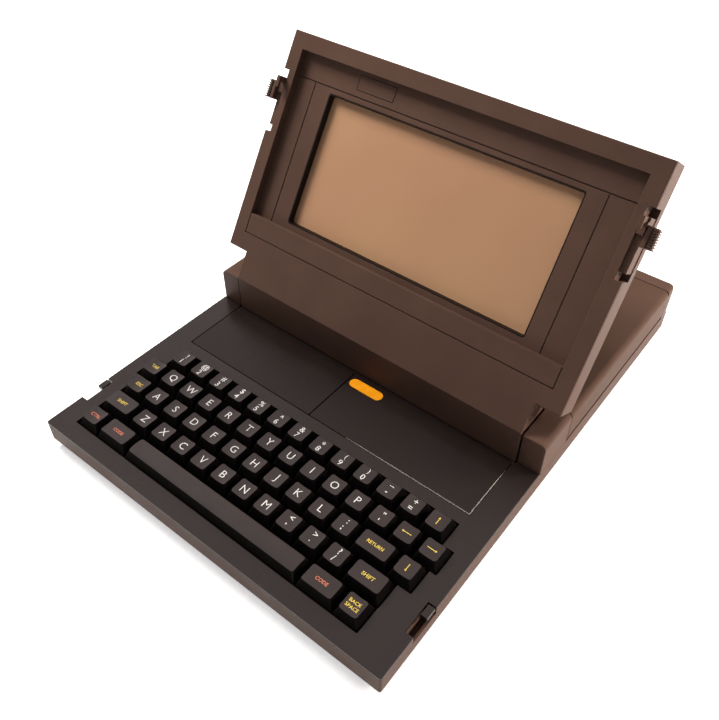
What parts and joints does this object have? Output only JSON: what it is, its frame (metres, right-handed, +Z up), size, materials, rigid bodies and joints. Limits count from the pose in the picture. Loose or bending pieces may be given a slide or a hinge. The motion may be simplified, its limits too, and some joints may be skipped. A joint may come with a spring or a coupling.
{
  "type": "laptop",
  "caption": "Portable computer with a deep base, a sprung keyboard, a hinged lid with a recessed screen, side latches and a fold-out rear leg.",
  "frame": {"origin": "on the resting plane, under the middle of the base", "axes": "+Y to the back of the base, +X to the user's right, +Z up, lid standing open at rest"},
  "size_m": [0.3086, 0.385, 0.2126],
  "materials": {
    "case_plastic": "fine moulded texture",
    "deck_plastic": "fine pebble texture",
    "key_plastic": "satin",
    "dark_trim": "satin",
    "amber": "gloss",
    "screen": "anti-glare",
    "rubber": "matt",
    "board": "lacquered",
    "unit_case": "satin",
    "steel": "plated"
  },
  "bodies": {
    "base": {"bottom_tray": "case_plastic", "rear_cover": "case_plastic", "rear_rim": "case_plastic", "shoulder_left": "case_plastic", "shoulder_right": "case_plastic", "hinge_trough": "case_plastic", "latch_catches": "case_plastic", "deck_plate": "deck_plastic", "deck_cover_left": "deck_plastic", "deck_cover_right": "deck_plastic", "module_bay": "deck_plastic", "rear_panel": "dark_trim", "power_inlet": "dark_trim", "phone_sockets": "dark_trim", "power_switch_frame": "dark_trim", "key_switches": "dark_trim", "module_sockets": "dark_trim", "accent_inlay": "amber", "front_feet": "rubber", "rear_feet": "rubber", "main_board": "board", "keyboard_board": "board", "power_supply": "unit_case", "memory_module": "unit_case", "keyboard_plate": "steel", "serial_socket": "steel", "instrument_socket": "steel"},
    "lid": {"lid_back_shell": "case_plastic", "lid_bezel": "case_plastic", "display_panel": "case_plastic", "window_frame": "dark_trim", "screen_glass": "screen", "display_module": "unit_case", "hinge_pins": "steel"},
    "latch_left": {"latch_left": "case_plastic"},
    "latch_right": {"latch_right": "case_plastic"},
    "tilt_leg": {"tilt_leg": "case_plastic"},
    "power_rocker": {"power_rocker": "dark_trim"},
    "number_keys": {"number_keys": "key_plastic"},
    "upper_letter_keys": {"upper_letter_keys": "key_plastic"},
    "middle_letter_keys": {"middle_letter_keys": "key_plastic"},
    "lower_letter_keys": {"lower_letter_keys": "key_plastic"},
    "arrow_up_key": {"arrow_up_key": "key_plastic"},
    "arrow_down_key": {"arrow_down_key": "key_plastic"},
    "arrow_left_key": {"arrow_left_key": "key_plastic"},
    "arrow_right_key": {"arrow_right_key": "key_plastic"},
    "tab_key": {"tab_key": "key_plastic"},
    "escape_key": {"escape_key": "key_plastic"},
    "return_key": {"return_key": "key_plastic"},
    "left_shift_key": {"left_shift_key": "key_plastic"},
    "right_shift_key": {"right_shift_key": "key_plastic"},
    "control_key": {"control_key": "key_plastic"},
    "left_code_key": {"left_code_key": "key_plastic"},
    "right_code_key": {"right_code_key": "key_plastic"},
    "space_bar": {"space_bar": "key_plastic"},
    "backspace_key": {"backspace_key": "key_plastic"}
  },
  "joints": [
    {"name": "lid_hinge", "type": "hinge", "parent": "base", "child": "lid", "pos_m": [0, -0.0034, 0.0438], "axis": [1, 0, 0], "range_deg": [0, 122.4]},
    {"name": "tilt_leg_hinge", "type": "hinge", "parent": "base", "child": "tilt_leg", "pos_m": [0, 0.146, 0.0048], "axis": [1, 0, 0], "range_deg": [0, 80]},
    {"name": "power_switch", "type": "hinge", "parent": "base", "child": "power_rocker", "pos_m": [0.08, 0.184, 0.0371], "axis": [1, 0, 0], "range_deg": [0, 16]},
    {"name": "latch_left_slide", "type": "slide", "parent": "lid", "child": "latch_left", "axis": [0, -0.5358, -0.8443], "range_m": [0, 0.0045]},
    {"name": "latch_right_slide", "type": "slide", "parent": "lid", "child": "latch_right", "axis": [0, -0.5358, -0.8443], "range_m": [0, 0.0045]},
    {"name": "number_keys_travel", "type": "slide", "parent": "base", "child": "number_keys", "axis": [0, 0, -1], "range_m": [0, 0.0032], "stiffness_N_per_m": 1800, "springref_m": -0.001},
    {"name": "upper_letter_keys_travel", "type": "slide", "parent": "base", "child": "upper_letter_keys", "axis": [0, 0, -1], "range_m": [0, 0.0032], "stiffness_N_per_m": 1650, "springref_m": -0.001},
    {"name": "middle_letter_keys_travel", "type": "slide", "parent": "base", "child": "middle_letter_keys", "axis": [0, 0, -1], "range_m": [0, 0.0032], "stiffness_N_per_m": 1500, "springref_m": -0.001},
    {"name": "lower_letter_keys_travel", "type": "slide", "parent": "base", "child": "lower_letter_keys", "axis": [0, 0, -1], "range_m": [0, 0.0032], "stiffness_N_per_m": 1500, "springref_m": -0.001},
    {"name": "arrow_up_key_travel", "type": "slide", "parent": "base", "child": "arrow_up_key", "axis": [0, 0, -1], "range_m": [0, 0.0032], "stiffness_N_per_m": 150, "springref_m": -0.001},
    {"name": "arrow_down_key_travel", "type": "slide", "parent": "base", "child": "arrow_down_key", "axis": [0, 0, -1], "range_m": [0, 0.0032], "stiffness_N_per_m": 150, "springref_m": -0.001},
    {"name": "arrow_left_key_travel", "type": "slide", "parent": "base", "child": "arrow_left_key", "axis": [0, 0, -1], "range_m": [0, 0.0032], "stiffness_N_per_m": 150, "springref_m": -0.001},
    {"name": "arrow_right_key_travel", "type": "slide", "parent": "base", "child": "arrow_right_key", "axis": [0, 0, -1], "range_m": [0, 0.0032], "stiffness_N_per_m": 150, "springref_m": -0.001},
    {"name": "tab_key_travel", "type": "slide", "parent": "base", "child": "tab_key", "axis": [0, 0, -1], "range_m": [0, 0.0032], "stiffness_N_per_m": 150, "springref_m": -0.001},
    {"name": "escape_key_travel", "type": "slide", "parent": "base", "child": "escape_key", "axis": [0, 0, -1], "range_m": [0, 0.0032], "stiffness_N_per_m": 150, "springref_m": -0.001},
    {"name": "return_key_travel", "type": "slide", "parent": "base", "child": "return_key", "axis": [0, 0, -1], "range_m": [0, 0.0032], "stiffness_N_per_m": 150, "springref_m": -0.001},
    {"name": "left_shift_key_travel", "type": "slide", "parent": "base", "child": "left_shift_key", "axis": [0, 0, -1], "range_m": [0, 0.0032], "stiffness_N_per_m": 150, "springref_m": -0.001},
    {"name": "right_shift_key_travel", "type": "slide", "parent": "base", "child": "right_shift_key", "axis": [0, 0, -1], "range_m": [0, 0.0032], "stiffness_N_per_m": 150, "springref_m": -0.001},
    {"name": "control_key_travel", "type": "slide", "parent": "base", "child": "control_key", "axis": [0, 0, -1], "range_m": [0, 0.0032], "stiffness_N_per_m": 150, "springref_m": -0.001},
    {"name": "left_code_key_travel", "type": "slide", "parent": "base", "child": "left_code_key", "axis": [0, 0, -1], "range_m": [0, 0.0032], "stiffness_N_per_m": 150, "springref_m": -0.001},
    {"name": "right_code_key_travel", "type": "slide", "parent": "base", "child": "right_code_key", "axis": [0, 0, -1], "range_m": [0, 0.0032], "stiffness_N_per_m": 150, "springref_m": -0.001},
    {"name": "space_bar_travel", "type": "slide", "parent": "base", "child": "space_bar", "axis": [0, 0, -1], "range_m": [0, 0.0032], "stiffness_N_per_m": 300, "springref_m": -0.001},
    {"name": "backspace_key_travel", "type": "slide", "parent": "base", "child": "backspace_key", "axis": [0, 0, -1], "range_m": [0, 0.0032], "stiffness_N_per_m": 150, "springref_m": -0.001}
  ]
}
